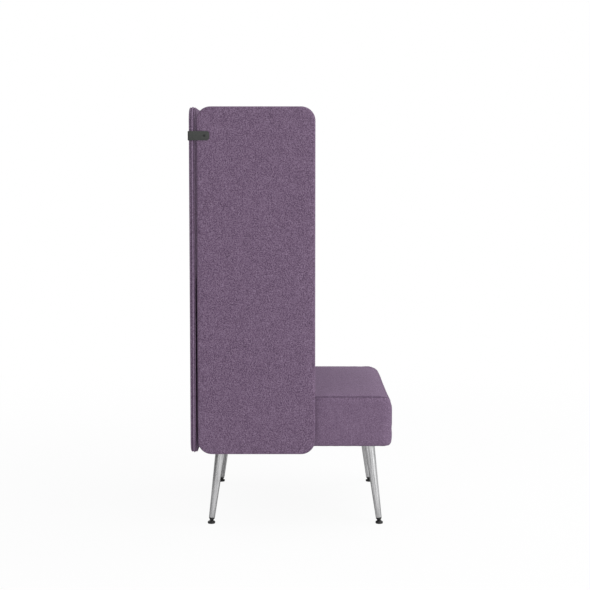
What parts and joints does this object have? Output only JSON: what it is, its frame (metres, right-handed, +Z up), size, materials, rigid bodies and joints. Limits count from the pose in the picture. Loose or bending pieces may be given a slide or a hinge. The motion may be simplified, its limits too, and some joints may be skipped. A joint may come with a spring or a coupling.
{
  "type": "high back privacy chair",
  "caption": "Upholstered lounge chair on splayed round metal legs, closed in by tall padded screens at its back and sides; the feet screw up and down to level it.",
  "frame": {"origin": "on the floor, under the middle of the chair's outline", "axes": "+Z up, +Y towards the rear screen, so the sitter faces -Y and the sitter's left is +X"},
  "size_m": [0.7032, 0.6766, 1.4],
  "materials": {
    "melange_fabric": "purple melange wool felt, matt, light and dark flecks",
    "welt_fabric": "piping in the same purple cloth",
    "foam": "open-cell polyurethane foam",
    "birch_plywood": "raw sanded plywood",
    "black_cambric": "thin black non-woven lining",
    "satin_steel": "brushed lengthwise, satin",
    "zinc_plated_steel": "zinc plated",
    "grey_powder_coat": "dark grey fine powder coat",
    "black_screw_steel": "black oxide",
    "black_nylon": "moulded black nylon"
  },
  "bodies": {
    "chair": {"seat_cover": "melange_fabric", "back_cover": "melange_fabric", "left_screen_inner_cover": "melange_fabric", "left_screen_outer_cover": "melange_fabric", "right_screen_inner_cover": "melange_fabric", "right_screen_outer_cover": "melange_fabric", "rear_screen_inner_cover": "melange_fabric", "rear_screen_outer_cover": "melange_fabric", "left_screen_welt": "welt_fabric", "right_screen_welt": "welt_fabric", "rear_screen_welt": "welt_fabric", "seat_foam": "foam", "back_foam": "foam", "seat_deck": "birch_plywood", "front_rail": "birch_plywood", "rear_rail": "birch_plywood", "left_rail": "birch_plywood", "right_rail": "birch_plywood", "back_board": "birch_plywood", "front_left_block": "birch_plywood", "front_right_block": "birch_plywood", "rear_left_block": "birch_plywood", "rear_right_block": "birch_plywood", "left_screen_board": "birch_plywood", "right_screen_board": "birch_plywood", "rear_screen_board": "birch_plywood", "dust_cover": "black_cambric", "front_left_leg": "satin_steel", "front_right_leg": "satin_steel", "rear_left_leg": "satin_steel", "rear_right_leg": "satin_steel", "left_screen_front_bolt": "zinc_plated_steel", "left_screen_rear_bolt": "zinc_plated_steel", "right_screen_front_bolt": "zinc_plated_steel", "right_screen_rear_bolt": "zinc_plated_steel", "rear_screen_left_bolt": "zinc_plated_steel", "rear_screen_right_bolt": "zinc_plated_steel", "back_cushion_left_bolt": "zinc_plated_steel", "back_cushion_right_bolt": "zinc_plated_steel", "left_clip": "grey_powder_coat", "right_clip": "grey_powder_coat", "left_clip_side_screw": "black_screw_steel", "left_clip_rear_screw": "black_screw_steel", "right_clip_side_screw": "black_screw_steel", "right_clip_rear_screw": "black_screw_steel", "front_left_leg_insert": "black_nylon", "front_right_leg_insert": "black_nylon", "rear_left_leg_insert": "black_nylon", "rear_right_leg_insert": "black_nylon"},
    "front_left_foot": {"front_left_glide_foot": "black_nylon"},
    "front_left_stud": {"front_left_glide_stud": "black_screw_steel"},
    "front_right_foot": {"front_right_glide_foot": "black_nylon"},
    "front_right_stud": {"front_right_glide_stud": "black_screw_steel"},
    "rear_left_foot": {"rear_left_glide_foot": "black_nylon"},
    "rear_left_stud": {"rear_left_glide_stud": "black_screw_steel"},
    "rear_right_foot": {"rear_right_glide_foot": "black_nylon"},
    "rear_right_stud": {"rear_right_glide_stud": "black_screw_steel"}
  },
  "joints": [
    {"name": "front_left_glide_travel", "type": "slide", "parent": "chair", "child": "front_left_foot", "axis": [0.1227, -0.1227, -0.9848], "range_m": [0, 0.01]},
    {"name": "front_left_stud_turn", "type": "hinge", "parent": "front_left_foot", "child": "front_left_stud", "pos_m": [0.287, -0.2973, 0.007], "axis": [0.1227, -0.1227, -0.9848], "range_deg": [0, 2880]},
    {"name": "front_right_glide_travel", "type": "slide", "parent": "chair", "child": "front_right_foot", "axis": [-0.1227, -0.1227, -0.9848], "range_m": [0, 0.01]},
    {"name": "front_right_stud_turn", "type": "hinge", "parent": "front_right_foot", "child": "front_right_stud", "pos_m": [-0.287, -0.2973, 0.007], "axis": [-0.1227, -0.1227, -0.9848], "range_deg": [0, 2880]},
    {"name": "rear_left_glide_travel", "type": "slide", "parent": "chair", "child": "rear_left_foot", "axis": [0.1227, 0.1227, -0.9848], "range_m": [0, 0.01]},
    {"name": "rear_left_stud_turn", "type": "hinge", "parent": "rear_left_foot", "child": "rear_left_stud", "pos_m": [0.287, 0.2707, 0.007], "axis": [0.1227, 0.1227, -0.9848], "range_deg": [0, 2880]},
    {"name": "rear_right_glide_travel", "type": "slide", "parent": "chair", "child": "rear_right_foot", "axis": [-0.1227, 0.1227, -0.9848], "range_m": [0, 0.01]},
    {"name": "rear_right_stud_turn", "type": "hinge", "parent": "rear_right_foot", "child": "rear_right_stud", "pos_m": [-0.287, 0.2707, 0.007], "axis": [-0.1227, 0.1227, -0.9848], "range_deg": [0, 2880]}
  ],
  "couplings": [
    {"joint": "front_left_stud_turn", "follows": "front_left_glide_travel", "rad_per_m": 5026.5},
    {"joint": "front_right_stud_turn", "follows": "front_right_glide_travel", "rad_per_m": 5026.5},
    {"joint": "rear_left_stud_turn", "follows": "rear_left_glide_travel", "rad_per_m": 5026.5},
    {"joint": "rear_right_stud_turn", "follows": "rear_right_glide_travel", "rad_per_m": 5026.5}
  ]
}
